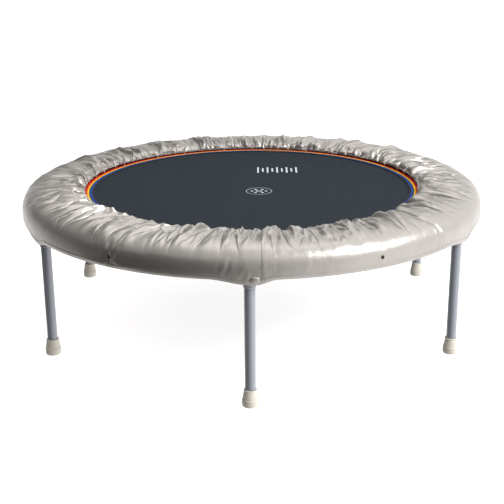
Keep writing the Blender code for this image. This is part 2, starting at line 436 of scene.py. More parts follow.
for number in range(1, LEGS + 1):
    angle = leg_angle(number)
    name = f"leg_sleeve_{number}"
    add_piece(name, sleeve_mesh(angle), SLEEVE_STEEL, "frame", [f"leg_socket_{number}"])
    add_piece(f"sleeve_weld_{number}", weld_mesh(angle, number), SLEEVE_STEEL, "frame")

# ---------------------------------------------------------------------------
# Collars
# A pale plastic ring sits on each stud between the leg's shoulder and its sleeve.
# It is moulded with a soft edge and keeps the two coats from rubbing.

collar_low, collar_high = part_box("leg_collar_1")
COLLAR_RADIUS = 0.0142
COLLAR_PLASTIC = grained_material(
    "collar_plastic", colour=(0.46, 0.47, 0.49), shade=(0.40, 0.41, 0.43),
    finish={"Roughness": 0.42},
    patch_scale=40.0, grain_scale=1800.0, bump_strength=0.2, bump_distance=0.0002,
)


def rounded(outline, radius, steps=4):
    """Ease each corner of a closed outline with a short curve; corners on the axis stay."""
    eased = []
    for index, (r, z) in enumerate(outline):
        if r == 0.0:
            eased.append((r, z))
            continue
        corner = Vector((r, z))
        before = Vector(outline[index - 1]) - corner
        after = Vector(outline[(index + 1) % len(outline)]) - corner
        start = corner + before.normalized() * min(radius, 0.45 * before.length)
        end = corner + after.normalized() * min(radius, 0.45 * after.length)
        for t in np.linspace(0, 1, steps + 1):
            eased.append(tuple(start * (1 - t) ** 2 + corner * 2 * t * (1 - t) + end * t**2))
    return eased


for number in range(1, LEGS + 1):
    centre = leg_centre(number)
    outline = [
        (SLEEVE_BORE, collar_low.z), (COLLAR_RADIUS, collar_low.z), (COLLAR_RADIUS, collar_high.z),
        (SLEEVE_BORE, collar_high.z),
    ]
    mesh = turned("collar", rounded(outline, 0.0010), 40, centre=centre)
    name = f"collar_{number}"
    add_piece(name, mesh, COLLAR_PLASTIC, name, [f"leg_collar_{number}"])

# ---------------------------------------------------------------------------
# Legs
# Six straight steel tubes, 25 mm across, powder-coated like the ring. A plug is pressed into the top of
# each and carries a zinc-plated M12 stud with a rolled thread, which screws into the sleeve.

leg_low, leg_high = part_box("leg_1")
LEG_RADIUS = 0.0125
LEG_WALL = 0.0015
STUD_RADIUS = 0.0060
STUD_LENGTH = 0.0315
THREAD_PITCH = 0.00175
THREAD_DEPTH = 0.0009
THREAD_ROWS = 108
STUD_SIDES = 20
TIP_CHAMFER = 0.0015
LEG_SHOULDER = leg_high.z - STUD_LENGTH
PLUG_BOTTOM = LEG_SHOULDER - 0.020


def steel_finish(name, colour, roughness, streak):
    """Plated steel, drawn lengthways, so its sheen is broken by fine streaks."""
    material, tree, shader = new_material(name, {"Metallic": 1.0})
    place = add_node(tree, "ShaderNodeTexCoord").outputs["Object"]
    stretched = add_node(tree, "ShaderNodeMapping", {"Vector": place, "Scale": (1.0, 1.0, streak)})
    noise = noise_of(tree, stretched.outputs[0], 400.0, 3.0)
    worn = between(tree, noise, (*colour, 1.0), (*[0.72 * c for c in colour], 1.0))
    rough = ranged(tree, noise, 0.0, 1.0, roughness - 0.08, roughness + 0.12)
    tree.links.new(worn, shader.inputs["Base Color"])
    tree.links.new(rough, shader.inputs["Roughness"])
    add_bump(tree, shader, noise, 0.15, 0.0002)
    return material


PLATED_STEEL = steel_finish("spring_steel", (0.60, 0.60, 0.61), 0.30, 0.3)


def stud_mesh(centre):
    """A stud whose radius follows its thread, with a chamfered tip."""
    tip = leg_high.z
    rings = []
    for row in range(THREAD_ROWS + 1):
        z = LEG_SHOULDER + 0.0002 + (STUD_LENGTH - 0.0002) * row / THREAD_ROWS
        ring = []
        for step in range(STUD_SIDES):
            turn = tau * step / STUD_SIDES
            wave = abs(2 * ((z / THREAD_PITCH - turn / tau) % 1.0) - 1)
            chamfer = max(0.0, z - (tip - TIP_CHAMFER))
            radius = STUD_RADIUS - THREAD_DEPTH * wave - chamfer
            ring.append((centre[0] + radius * cos(turn), centre[1] + radius * sin(turn), z))
        rings.append(ring)
    for z, place in ((rings[0][0][2], 0), (tip, len(rings) + 1)):
        rings.insert(place, [(centre[0], centre[1], z)] * STUD_SIDES)
    return loft("stud", [ring[::-1] for ring in rings], closed_path=False)


for number in range(1, LEGS + 1):
    centre = leg_centre(number)
    body = f"screw_leg_{number}"
    bore = LEG_RADIUS - LEG_WALL
    outline = [
        (0.0, PLUG_BOTTOM), (bore, PLUG_BOTTOM), (bore, leg_low.z), (LEG_RADIUS, leg_low.z),
        (LEG_RADIUS, LEG_SHOULDER), (0.0, LEG_SHOULDER),
    ]
    tube = turned("leg_tube", rounded(outline, 0.0012), 48, closed=False, centre=centre)
    add_piece(f"leg_tube_{number}", tube, POWDER_COAT, body, [f"leg_{number}"])
    add_piece(f"leg_stud_{number}", stud_mesh(centre), PLATED_STEEL, body)

# ---------------------------------------------------------------------------
# Feet
# Cream rubber ferrules are pushed over the tube ends: a tapered neck with a lip, a moulding step at
# mid height, and a wider drum with a rounded edge. The sole has two grooves for grip.

foot_low, foot_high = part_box("foot_1")
FOOT_RADIUS = (foot_high.x - foot_low.x) / 2
FOOT_HEIGHT = foot_high.z
CREAM_RUBBER = grained_material(
    "cream_rubber", colour=(0.66, 0.63, 0.56), shade=(0.58, 0.55, 0.47),
    finish={"Roughness": 0.55, "Sheen Weight": 0.1},
    patch_scale=35.0, grain_scale=1100.0, bump_strength=0.35, bump_distance=0.0003,
)


def foot_outline():
    drum = FOOT_RADIUS
    neck = FOOT_RADIUS - 0.0046
    mouth = LEG_RADIUS + 0.0002
    floor = leg_low.z - 0.0003
    sole = [(0.0, 0.0)]
    for radius in (0.0055, 0.0105):
        sole += [(radius, 0.0), (radius + 0.0004, 0.0009), (radius + 0.0016, 0.0009), (radius + 0.0020, 0.0)]
    return sole + [
        (drum - 0.0032, 0.0), (drum - 0.0014, 0.0009), (drum - 0.0004, 0.0028),
        (drum - 0.0001, 0.0060), (drum, 0.0168), (drum - 0.0003, 0.0182), (drum - 0.0016, 0.0192),
        (drum - 0.0017, 0.0204), (drum - 0.0012, 0.0212), (drum - 0.0022, 0.0260),
        (drum - 0.0034, 0.0335), (neck + 0.0002, FOOT_HEIGHT - 0.0035),
        (neck + 0.0010, FOOT_HEIGHT - 0.0028), (neck + 0.0010, FOOT_HEIGHT - 0.0006),
        (neck + 0.0004, FOOT_HEIGHT), (mouth, FOOT_HEIGHT), (mouth, floor), (0.0, floor),
    ]


for number in range(1, LEGS + 1):
    centre = leg_centre(number)
    mesh = turned("foot", rounded(foot_outline(), 0.0007, 3), 56, closed=False, centre=centre)
    body = f"screw_leg_{number}"
    add_piece(f"rubber_foot_{number}", mesh, CREAM_RUBBER, body, [f"foot_{number}"])

# ---------------------------------------------------------------------------
# Springs
# Thirty zinc-plated coil springs are close wound from 2.2 mm wire. One open hook goes through a hole in
# the ring tube, the other through a wire ring in the mat's edge. They stretch when the mat goes down.

COIL_RADIUS = 0.0060
WIRE_RADIUS = 0.0011
HOOK_LENGTH = 0.0150
HOOK_EYE = 0.0042
SPRING_INNER = Vector((0.4590, 0.0, 0.3550))
SPRING_OUTER = Vector((0.5645, 0.0, 0.3436))


def moved(tree, piece, place, rotation=(0.0, 0.0, 0.0)):
    """A Transform Geometry node after a piece."""
    inputs = {"Geometry": piece.outputs[0], "Translation": place, "Rotation": rotation}
    return add_node(tree, "GeometryNodeTransform", inputs)


def gathered(tree, *pieces):
    """A Join Geometry node fed by the pieces, in their order."""
    join = add_node(tree, "GeometryNodeJoinGeometry")
    for piece in pieces:
        tree.links.new(piece.outputs[0], join.inputs[0])
    return join


def spring_tree():
    """A close-wound coil along Z with an open hook at each end."""
    tree, given, out = new_tree(
        "wound_spring",
        "GeometryNodeTree",
        {
            "Coil Radius": 0.006, "Wire Radius": 0.001, "Turns": 20.0, "Length": 0.1,
            "Hook Length": 0.015, "Hook Eye": 0.004, "Material": "Material",
        },
        {"Geometry": "Geometry"},
    )
    middle = sum_of(tree, "SUBTRACT", given["Coil Radius"], given["Wire Radius"])
    hooks = sum_of(tree, "MULTIPLY", given["Hook Length"], 2.0)
    height = sum_of(tree, "SUBTRACT", given["Length"], hooks)
    winding = {"Resolution": 12, "Rotations": given["Turns"], 2: middle, 3: middle, "Height": height}
    coil = add_node(tree, "GeometryNodeCurveSpiral", winding)
    raised = moved(tree, coil, xyz(tree, z=given["Hook Length"]))
    coil_end = xyz(tree, middle, 0.0, given["Hook Length"])
    eye_top = sum_of(tree, "MULTIPLY", given["Hook Eye"], 2.0)
    bend = {"Start": coil_end, "Middle": xyz(tree, middle, 0.0, eye_top), "End": xyz(tree, z=eye_top)}
    shank = add_node(tree, "GeometryNodeCurveQuadraticBezier", {"Resolution": 6, **bend})
    arc = {"Radius": given["Hook Eye"], "Start Angle": radians(90), "Sweep Angle": radians(300)}
    eye = add_node(tree, "GeometryNodeCurveArc", {"Resolution": 16, **arc})
    stood = moved(tree, eye, xyz(tree, z=given["Hook Eye"]), (radians(90), 0.0, 0.0))
    hook = gathered(tree, stood, shank)
    other_hook = moved(tree, hook, xyz(tree, z=given["Length"]), (pi, 0.0, 0.0))
    whole = gathered(tree, raised, hook, other_hook)
    round_wire = {"Resolution": 6, "Radius": given["Wire Radius"]}
    wire = add_node(tree, "GeometryNodeCurvePrimitiveCircle", round_wire)
    section = {"Curve": whole.outputs[0], "Profile Curve": wire.outputs[0], "Fill Caps": True}
    solid = add_node(tree, "GeometryNodeCurveToMesh", section)
    close_geometry(tree, solid.outputs[0], given["Material"], out)
    return tree


spring_line = SPRING_OUTER - SPRING_INNER
spring_sizes = {
    "Coil Radius": COIL_RADIUS, "Wire Radius": WIRE_RADIUS, "Turns": 26.0,
    "Length": spring_line.length, "Hook Length": HOOK_LENGTH, "Hook Eye": HOOK_EYE,
    "Material": PLATED_STEEL,
}
spring_mesh = grown("coil_spring", spring_tree(), spring_sizes)
spring_mesh.transform(Matrix.Translation(SPRING_INNER) @ along_z(spring_line))
for number in range(SPRINGS):
    turn = Matrix.Rotation(tau * number / SPRINGS, 4, "Z")
    mesh = spring_mesh.copy()
    mesh.transform(turn)
    spring = add_piece(f"coil_spring_{number + 1:02d}", mesh, PLATED_STEEL)
    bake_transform(spring)
    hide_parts(f"spring_{number + 1:02d}")

# ---------------------------------------------------------------------------
# Mat
# A disc of black polypropylene cloth, woven flat and heat-sealed round its edge. It is stretched level
# by the springs. A small badge and a row of bars are screen-printed on it in pale ink.

mat_low, mat_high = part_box("mat")
MAT_RADIUS = mat_high.x
MAT_TOP = mat_high.z
INK_THICKNESS = 0.00012
INK_GAP = 0.00002
BADGE_CENTRE = Vector((0.020, -0.050))
BADGE_RADIUS = 0.034
BARS_CENTRE = Vector((0.071, 0.180))
BARS_WIDTH = 0.108


def weave_group():
    """A plain weave: warp and weft threads that cross over and under, as a height."""
    tree, given, out = new_tree(
        "plain_weave",
        "ShaderNodeTree",
        {"Position": "Vector", "Threads": 700.0},
        {"Height": "Float"},
    )
    split = add_node(tree, "ShaderNodeSeparateXYZ", {0: given["Position"]})
    warp = sum_of(tree, "MULTIPLY", split.outputs[0], given["Threads"])
    weft = sum_of(tree, "MULTIPLY", split.outputs[1], given["Threads"])
    over = add_node(tree, "ShaderNodeTexChecker", {"Vector": xyz(tree, warp, weft, 0.5), "Scale": 1.0})
    round_warp = sum_of(tree, "ABSOLUTE", sum_of(tree, "SINE", sum_of(tree, "MULTIPLY", warp, pi)))
    round_weft = sum_of(tree, "ABSOLUTE", sum_of(tree, "SINE", sum_of(tree, "MULTIPLY", weft, pi)))
    height = add_node(tree, "ShaderNodeMix", {0: over.outputs[1], 2: round_warp, 3: round_weft})
    tree.links.new(height.outputs[0], out.inputs["Height"])
    return tree


PLAIN_WEAVE = weave_group()


def weave_of(tree, place, threads):
    """The weave's height, with so many threads to the metre."""
    inputs = {"Position": place, "Threads": threads}
    return add_node(tree, "ShaderNodeGroup", inputs, node_tree=PLAIN_WEAVE).outputs["Height"]


def mat_cloth():
    """Black tape weave, slightly bluish, with broad soft streaks along its warp, darkened between its
    threads as painted shade.
    """
    material, tree, shader = new_material("mat_fabric", {"Roughness": 0.80, "Specular IOR Level": 0.10})
    place = add_node(tree, "ShaderNodeTexCoord").outputs["Object"]
    weave = weave_of(tree, place, 520.0)
    stretched = add_node(tree, "ShaderNodeMapping", {"Vector": place, "Scale": (1.0, 0.06, 1.0)})
    streaks = noise_of(tree, stretched.outputs[0], 60.0, 3.0)
    shade = between(tree, streaks, (0.013, 0.019, 0.025, 1.0), (0.018, 0.025, 0.032, 1.0))
    # The weave's height also scales the colour, darker in the gaps between threads: painted shade.
    painted_weave_shade = sum_of(tree, "MULTIPLY_ADD", weave, 0.35, 0.75)
    tree.links.new(vector_of(tree, "SCALE", shade, painted_weave_shade), shader.inputs["Base Color"])
    add_bump(tree, shader, weave, 0.4, 0.0003)
    return material


def mat_outline():
    """From the middle out along the underside and back over the top, with rings fine enough to shade."""
    radii = [MAT_RADIUS * k / 12 for k in range(13)]
    under = [(r, mat_low.z) for r in radii]
    over = [(r, MAT_TOP) for r in radii[::-1]]
    return under + [(MAT_RADIUS + 0.0001, (mat_low.z + MAT_TOP) / 2)] + over


mat_mesh = turned("mat_cloth", mat_outline(), 180, closed=False)
mat = add_piece("mat_cloth", mat_mesh, mat_cloth(), "jumping_mat", ["mat"])


def ink_shape(inner, outer, steps, centre=BADGE_CENTRE):
    """A printed ring, or a dot where its inner radius is nothing."""
    low = MAT_TOP + INK_GAP
    top = low + INK_THICKNESS
    outline = [(inner, low), (outer, low), (outer, top), (inner, top)]
    return turned("ink", outline, steps, closed=inner > 0.0, centre=centre)


def bars_tree():
    """A row of upright bars, alternately long and short."""
    tree, given, out = new_tree(
        "row_of_bars",
        "GeometryNodeTree",
        {
            "Count": 9, "Pitch": 0.012, "Bar Width": 0.005, "Bar Length": 0.04,
            "Thickness": 0.0001, "Material": "Material",
        },
        {"Geometry": "Geometry"},
    )
    spread = {"Count": given["Count"], "Offset": xyz(tree, given["Pitch"])}
    line = add_node(tree, "GeometryNodeMeshLine", spread)
    size = xyz(tree, given["Bar Width"], given["Bar Length"], given["Thickness"])
    bar = add_node(tree, "GeometryNodeMeshCube", {"Size": size})
    number = add_node(tree, "GeometryNodeInputIndex")
    odd = sum_of(tree, "MODULO", number.outputs[0], 2.0)
    share = sum_of(tree, "SUBTRACT", 1.0, sum_of(tree, "MULTIPLY", odd, 0.4))
    row = {"Points": line.outputs[0], "Instance": bar.outputs["Mesh"], "Scale": xyz(tree, 1.0, share, 1.0)}
    placed = add_node(tree, "GeometryNodeInstanceOnPoints", row)
    close_geometry(tree, placed.outputs[0], given["Material"], out)
    return tree


PRINT_INK = grained_material(
    "mat_print", colour=(0.56, 0.60, 0.62), shade=(0.44, 0.48, 0.50),
    finish={"Roughness": 0.5},
    patch_scale=120.0, grain_scale=1500.0, bump_strength=0.2, bump_distance=0.0002,
)
DOTS_RADIUS = 0.0185
dots = []
for k in range(6):
    direction = Vector((cos(tau * k / 6), sin(tau * k / 6)))
    dots.append(ink_shape(0.0, 0.0038, 24, BADGE_CENTRE + DOTS_RADIUS * direction))
circles = [ink_shape(BADGE_RADIUS - 0.0013, BADGE_RADIUS, 72), ink_shape(0.0060, 0.0085, 72)]
badge = joined("badge", [*circles, *dots])
add_piece("mat_badge", badge, PRINT_INK, "jumping_mat")
BARS = 9
bar_sizes = {
    "Count": BARS, "Pitch": BARS_WIDTH / (BARS - 1), "Bar Width": 0.0048, "Bar Length": 0.064,
    "Thickness": INK_THICKNESS, "Material": PRINT_INK,
}
bars = grown("mat_bars", bars_tree(), bar_sizes)
bars.transform(Matrix.Translation((BARS_CENTRE.x - BARS_WIDTH / 2, BARS_CENTRE.y, MAT_TOP + 0.0001)))
add_piece("mat_bars", bars, PRINT_INK, "jumping_mat")

# ---------------------------------------------------------------------------
# Edge webbing
# A band woven in coloured stripes is folded over the mat's edge and sewn through twice with dark thread.
# Its two ends overlap at the back, and it holds the wire rings that the springs hook into.

webbing_low, webbing_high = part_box("mat_webbing")
WEBBING_OUTER = webbing_high.x
WEBBING_INNER = 0.4155
WEBBING_TOP = webbing_high.z
WEBBING_BOTTOM = webbing_low.z
WEBBING_LAYER = 0.0012
WIRE_RING_CORNERS = [(0.4470, -0.0105), (0.4670, 0.0), (0.4470, 0.0105)]
WIRE_RING_BEND = 0.0035
WIRE_RING_RADIUS = 0.00085
LAP_START = radians(75.5)
LAP_END = radians(85.5)
STRIPES = [
    (0.4155, (0.008, 0.009, 0.012)), (0.4188, (0.006, 0.010, 0.050)), (0.4208, (0.012, 0.045, 0.240)),
    (0.4266, (0.015, 0.090, 0.040)), (0.4290, (0.900, 0.560, 0.020)), (0.4318, (0.880, 0.200, 0.008)),
    (0.4345, (0.520, 0.020, 0.008)), (0.4440, (0.170, 0.006, 0.008)),
]


def radius_of(tree, place):
    """A point's distance from the trampoline's axis, and the flat vector that it is the length of."""
    flat = vector_of(tree, "MULTIPLY", place, (1.0, 1.0, 0.0))
    return add_node(tree, "ShaderNodeVectorMath", {0: flat}, operation="LENGTH").outputs["Value"], flat


def striped_cloth(name, faded):
    """Stripes by distance from the middle, over a coarse rib, darkened between its threads as painted shade;
    faded mixes them with a brown wear.
    """
    material, tree, shader = new_material(name, {"Roughness": 0.75, "Specular IOR Level": 0.15})
    coordinates = add_node(tree, "ShaderNodeTexCoord")
    radius = radius_of(tree, coordinates.outputs["Object"])[0]
    span = STRIPES[-1][0] - STRIPES[0][0]
    share = ranged(tree, radius, STRIPES[0][0], STRIPES[-1][0], 0.0, 1.0)
    ramp = add_node(tree, "ShaderNodeValToRGB", {0: share})
    ramp.color_ramp.interpolation = "CONSTANT"
    for number, (start, colour) in enumerate(STRIPES):
        place = (start - STRIPES[0][0]) / span
        stops = ramp.color_ramp.elements
        stop = stops[number] if number < 2 else stops.new(place)
        stop.position = place
        stop.color = (*colour, 1.0)
    weave = weave_of(tree, coordinates.outputs["UV"], 900.0)
    worn = between(tree, faded, ramp.outputs[0], (0.30, 0.12, 0.04, 1.0))
    # The weave's height also scales the colour, darker in the gaps between threads: painted shade.
    painted_weave_shade = sum_of(tree, "MULTIPLY_ADD", weave, 0.4, 0.7)
    tree.links.new(vector_of(tree, "SCALE", worn, painted_weave_shade), shader.inputs["Base Color"])
    add_bump(tree, shader, weave, 0.6, 0.0004)
    return material


def folded_band(proud=0.0, inner=WEBBING_INNER):
    """The band's section: over the mat, round its edge and back under it."""
    above = WEBBING_TOP - WEBBING_LAYER
    below = WEBBING_BOTTOM + WEBBING_LAYER
    edge = WEBBING_OUTER - WEBBING_LAYER
    outline = [
        (inner, above), (edge, above), (edge, below), (inner, below), (inner, WEBBING_BOTTOM - proud),
        (WEBBING_OUTER, WEBBING_BOTTOM - proud), (WEBBING_OUTER, WEBBING_TOP + proud),
        (inner, WEBBING_TOP + proud),
    ]
    return rounded(outline, 0.0005, 2)


def capped(mesh):
    """Close the open ends of a strip with flat faces."""
    shape = bmesh.new()
    shape.from_mesh(mesh)
    bmesh.ops.holes_fill(shape, edges=[edge for edge in shape.edges if edge.is_boundary])
    bmesh.ops.triangulate(shape, faces=[face for face in shape.faces if len(face.verts) > 4])
    bmesh.ops.recalc_face_normals(shape, faces=shape.faces)
    shape.to_mesh(mesh)
    shape.free()
    return mesh


def band_arc(outline, start, end, steps):
    """A length of band between two angles, with its cut ends closed."""
    angles = [start + (end - start) * step / steps for step in range(steps + 1)]
    return capped(loft("band", spun(outline, angles), closed_path=False))


def circle_path(radius, height, steps=240):
    return [(radius * cos(tau * k / steps), radius * sin(tau * k / steps), height) for k in range(steps)]


webbing_cloth = striped_cloth("striped_webbing", 0.0)
band = turned("edge_webbing", folded_band(), 240)
webbing = add_piece("edge_webbing", band, webbing_cloth, "jumping_mat", ["mat_webbing"])
lap = band_arc(folded_band(proud=0.0009, inner=WEBBING_INNER + 0.001), LAP_START, LAP_END, 12)
worn_cloth = striped_cloth("webbing_lap", 0.55)
lap_piece = add_piece("webbing_lap", lap, worn_cloth, "jumping_mat")
THREAD = grained_material(
    "sewing_thread", colour=(0.040, 0.036, 0.034), shade=(0.080, 0.072, 0.066),
    finish={"Roughness": 0.6, "Sheen Weight": 0.2},
    patch_scale=200.0, grain_scale=3000.0, bump_strength=0.3, bump_distance=0.0002,
)
stitch_sizes = {"Spacing": 0.0046, "Length": 0.0036, "Width": 0.0007, "Unevenness": 0.08, "Seed": 3}
stitch_rows = []
for radius in (WEBBING_INNER + 0.0022, WEBBING_OUTER - 0.0035):
    for height in (WEBBING_TOP, WEBBING_BOTTOM):
        row = path_mesh(circle_path(radius, height))
        stitch_rows.append(grown("stitches", ROW_ALONG_PATH, {**stitch_sizes, "Material": THREAD}, row))
sewn = joined("webbing_stitches", stitch_rows)
webbing_stitches = add_piece("webbing_stitches", sewn, THREAD, "jumping_mat")


def wire_ring(angle):
    """A triangle of wire, wide inside the band's fold, with its point out towards the spring."""
    path = [Vector(point) for point in rounded(WIRE_RING_CORNERS, WIRE_RING_BEND)]
    middle = (WEBBING_TOP + WEBBING_BOTTOM) / 2
    rings = []
    for index, point in enumerate(path):
        along = (path[(index + 1) % len(path)] - path[index - 1]).normalized()
        side = Vector((along.y, -along.x))
        ring = []
        for k in range(6):
            out = WIRE_RING_RADIUS * cos(tau * k / 6)
            up = WIRE_RING_RADIUS * sin(tau * k / 6)
            ring.append((point.x + out * side.x, point.y + out * side.y, middle + up))
        rings.append(ring)
    mesh = loft("wire_ring", rings)
    mesh.transform(Matrix.Rotation(angle, 4, "Z"))
    return mesh


ring_meshes = [wire_ring(tau * number / SPRINGS) for number in range(SPRINGS)]
add_piece("wire_rings", joined("wire_rings", ring_meshes), PLATED_STEEL, "jumping_mat")

# ---------------------------------------------------------------------------
# Foam ring
# A strip of closed-cell foam, 15 mm thick, lies over the springs and the ring tube under the cover.
# It is cut square and skived along its outer edge, and the springs press faint dents into it.

foam_low, foam_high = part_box("foam_pad")
FOAM_INNER = 0.4560
DENT_HEIGHT = 0.0006
FOAM = grained_material(
    "foam", colour=(0.78, 0.78, 0.75), shade=(0.68, 0.68, 0.65),
    finish={"Roughness": 0.9},
    patch_scale=60.0, grain_scale=1600.0, bump_strength=0.8, bump_distance=0.0006,
)


def foam_outline():
    """Flat below, domed above, with its outer edge cut thin."""
    under = [(radius, foam_low.z) for radius in (FOAM_INNER, 0.4700, 0.4980, 0.5260, 0.5540, foam_high.x)]
    skived = [(foam_high.x, foam_low.z + 0.0035), (0.5750, 0.3680), (0.5630, 0.3715)]
    return under + skived + [(0.5300, foam_high.z), (0.4850, 0.3725), (FOAM_INNER, 0.3680)]


def foam_mesh():
    mesh = turned("foam_ring", rounded(foam_outline(), 0.0030), 240)
    for vertex in mesh.vertices:
        if vertex.co.z < foam_low.z + 0.0005:
            angle = np.arctan2(vertex.co.y, vertex.co.x)
            vertex.co.z += DENT_HEIGHT * (0.5 + 0.5 * cos(SPRINGS * angle)) ** 3
    return mesh


foam = add_piece("foam_ring", foam_mesh(), FOAM, "frame", ["foam_pad"])

# ---------------------------------------------------------------------------
# Cover
# One long strip of coated silver-grey nylon is sewn into a hoop as big as the ring. Its lower edge is
# hemmed; its upper edge is drawn in by an elastic, so the cloth gathers over the foam in deep pleats.

COVER_PROFILE = [
    (0.4400, 0.3655), (0.4450, 0.3685), (0.4560, 0.3715), (0.4850, 0.3755), (0.5300, 0.3775),
    (0.5650, 0.3750), (0.5870, 0.3665), (0.5985, 0.3515), (0.6022, 0.3330), (0.6005, 0.3170),
    (0.5960, 0.3070),
]
PAD_PROFILE = [
    (0.4300, 0.3585), (0.4520, 0.3590), (0.4560, 0.3680), (0.4850, 0.3715), (0.5300, 0.3735),
    (0.5640, 0.3710), (0.5835, 0.3635), (0.5945, 0.3500), (0.5982, 0.3330), (0.5970, 0.3175),
    (0.5925, 0.3050), (0.5775, 0.3000),
]
COLUMNS = 1200
ROWS = 38
ROW_CROWDING = 0.55
PLEATS = 66
WALL_HEIGHT = 0.070
STRIP_RADIUS = 0.6060
STRIP_TOP_RADIUS = 0.5860
STRIP_SLACK = 1.01
UNEVEN_BY = 0.003
UNEVEN_ABOVE_HEM = 0.08
PLEAT_RADIUS = 0.6
TUCK_SHARE = 0.27
TUCK_DEPTH = 0.475
TUCK_IN_STRIP = 1.6
PANEL_SPREAD = 0.94
TUCK_SPREAD = 0.06
PANEL_ARCH = 0.0015
CLOTH_THICKNESS = 0.0006
HEM_DROP = 0.0115
HEM_SLOPES = (8.5, 4.5)
HEM_LOWEST_TO = 1.5
CLEARANCE = 0.001
NYLON = {
    "quality": 5, "mass": 0.003, "air_damping": 1.0, "tension_stiffness": 300, "tension_damping": 5,
    "compression_stiffness": 300, "compression_damping": 5, "shear_stiffness": 10, "shear_damping": 5,
    "bending_stiffness": 3.0, "bending_damping": 0.5,
}
DRAWN_IN_AT = 14
LAST_MOMENT = 26
FOLD_GAIN = 0.9
LIFT_ROWS = (9, 4)
HIGHEST_LIFT = 0.008
RIDGES = 120
HIGHEST_FOLD = 0.0175
EYELET_OFFSET = radians(28.8)
EYELET_ABOVE_HEM = 0.0270
EYELET_PULL = [0.002, 0.001, 0.003, 0.009, 0.002, 0.001]


def smooth_line(corners, count, crowding=0.0):
    """Points on a smooth curve through the corners, evenly spaced or crowded towards its start."""
    corners = np.array(corners, float)
    line = []
    for k in range(len(corners) - 1):
        before, here, there, after = (corners[min(max(k + n, 0), len(corners) - 1)] for n in (-1, 0, 1, 2))
        for t in np.linspace(0, 1, 40, endpoint=False):
            line.append(
                0.5 * (2 * here + (there - before) * t + (2 * before - 5 * here + 4 * there - after) * t**2
                       + (3 * here - before - 3 * there + after) * t**3)
            )
    line = np.array(line + [corners[-1]])
    length = np.concatenate([[0.0], np.cumsum(np.hypot(*np.diff(line, axis=0).T))])
    share = np.linspace(0, 1, count)
    place = length[-1] * ((1 - crowding) * share + crowding * share**1.7)
    return np.interp(place, length, line[:, 0]), np.interp(place, length, line[:, 1]), place


def hem_sag(angle):
    """How far the hem hangs at an angle: a long slope on one side of each leg, a short one on the other."""
    sag = np.zeros_like(angle)
    for number in range(1, LEGS + 1):
        off = np.degrees((angle - leg_angle(number) + pi) % tau - pi)
        left = np.clip(1 + off / HEM_SLOPES[0], 0, 1)
        right = np.clip(1 - (off - HEM_LOWEST_TO) / HEM_SLOPES[1], 0, 1)
        share = np.minimum(left, right)
        sag = np.maximum(sag, HEM_DROP * share**2 * (3 - 2 * share))
    return sag


def eyelet_angle(number):
    """The eyelets are near the middle of each span between two legs."""
    return leg_angle(number) + EYELET_OFFSET


def pleat_plan(draw):
    """Where each column of cloth lies round the elastic, and how high: panels, with sharp tucks between."""
    share = draw.uniform(0.55, 1.45, PLEATS)
    edge = np.concatenate([[0.0], np.cumsum(share)]) / share.sum()
    place = np.linspace(0, 1, COLUMNS, endpoint=False)
    which = np.clip(np.searchsorted(edge, place, side="right") - 1, 0, PLEATS - 1)
    width = edge[which + 1] - edge[which]
    within = (place - edge[which]) / width
    tuck = draw.uniform(0.6, 1.3, PLEATS)[which] * TUCK_SHARE
    on_panel = within < 1 - tuck
    panel = np.where(on_panel, within / (1 - tuck), 1.0)
    fold = np.where(on_panel, 0.0, (within - (1 - tuck)) / tuck)
    angle = tau * (edge[which] + width * (PANEL_SPREAD * panel + TUCK_SPREAD * fold))
    depth = TUCK_DEPTH * tuck * tau * PLEAT_RADIUS * width
    rise = np.where(on_panel, PANEL_ARCH * np.sin(pi * panel), -depth * (1 - np.abs(2 * fold - 1)))
    return angle, rise


def waves(draw, lowest, highest, fall):
    """A random closed wave of the strip's columns, no larger than 1."""
    place = np.linspace(0, tau, COLUMNS, endpoint=False)
    wave = np.zeros(COLUMNS)
    for count in range(lowest, highest):
        wave += draw.normal() * np.cos(count * place + draw.uniform(0, tau)) / count**fall
    return wave / np.abs(wave).max()


def cover_shapes():
    """The hoop before and after it is drawn in: two (rows, columns, 3) sets of points."""
    draw = np.random.default_rng(11)
    radius, height, place = smooth_line(COVER_PROFILE, ROWS, ROW_CROWDING)
    column = np.linspace(0, tau, COLUMNS, endpoint=False) - pi / 2
    pleat_angle, rise = pleat_plan(draw)
    pleat_angle = pleat_angle - pi / 2 + 0.02 * waves(draw, 1, 14, 1.0)
    unevenness = waves(draw, 6, 60, 0.3)
    uncut = np.zeros((ROWS, COLUMNS, 3))
    drawn = np.zeros((ROWS, COLUMNS, 3))
    sag = hem_sag(column)
    for row in range(ROWS):
        above_hem = place[-1] - place[row]
        wall = above_hem < WALL_HEIGHT
        upper = 0.0 if wall else (above_hem - WALL_HEIGHT) / (place[-1] - WALL_HEIGHT)
        strip = STRIP_RADIUS + (STRIP_TOP_RADIUS - STRIP_RADIUS) * upper
        uneven = UNEVEN_BY * unevenness * min(1, above_hem / UNEVEN_ABOVE_HEM)
        strip = strip + uneven + TUCK_IN_STRIP * rise * upper
        lower = np.clip(1 - above_hem / WALL_HEIGHT, 0, 1)
        level = COVER_PROFILE[-1][1] + above_hem * STRIP_SLACK - sag * lower
        uncut[row] = np.stack([strip * np.cos(column), strip * np.sin(column), level], axis=1)
        turn = pleat_angle if row == 0 else column
        level = height[row] - sag * lower + (rise if row == 0 else 0)
        drawn[row] = np.stack([radius[row] * np.cos(turn), radius[row] * np.sin(turn), level], axis=1)
    return uncut, drawn, rise, place[-1] - place


def tie_eyelets(drawn, above_hem):
    """Pull the cloth in a little at each eyelet, where it is held; gives the held points' numbers."""
    tied = []
    row = int(np.argmin(np.abs(above_hem - EYELET_ABOVE_HEM)))
    for number in range(1, LEGS + 1):
        middle = round((eyelet_angle(number) + pi / 2) / tau * COLUMNS)
        for column in (middle - 1, middle, middle + 1):
            drawn[row, column % COLUMNS, :2] *= 1 - EYELET_PULL[number - 1] / RING_RADIUS
            tied.append(row * COLUMNS + column % COLUMNS)
    return tied


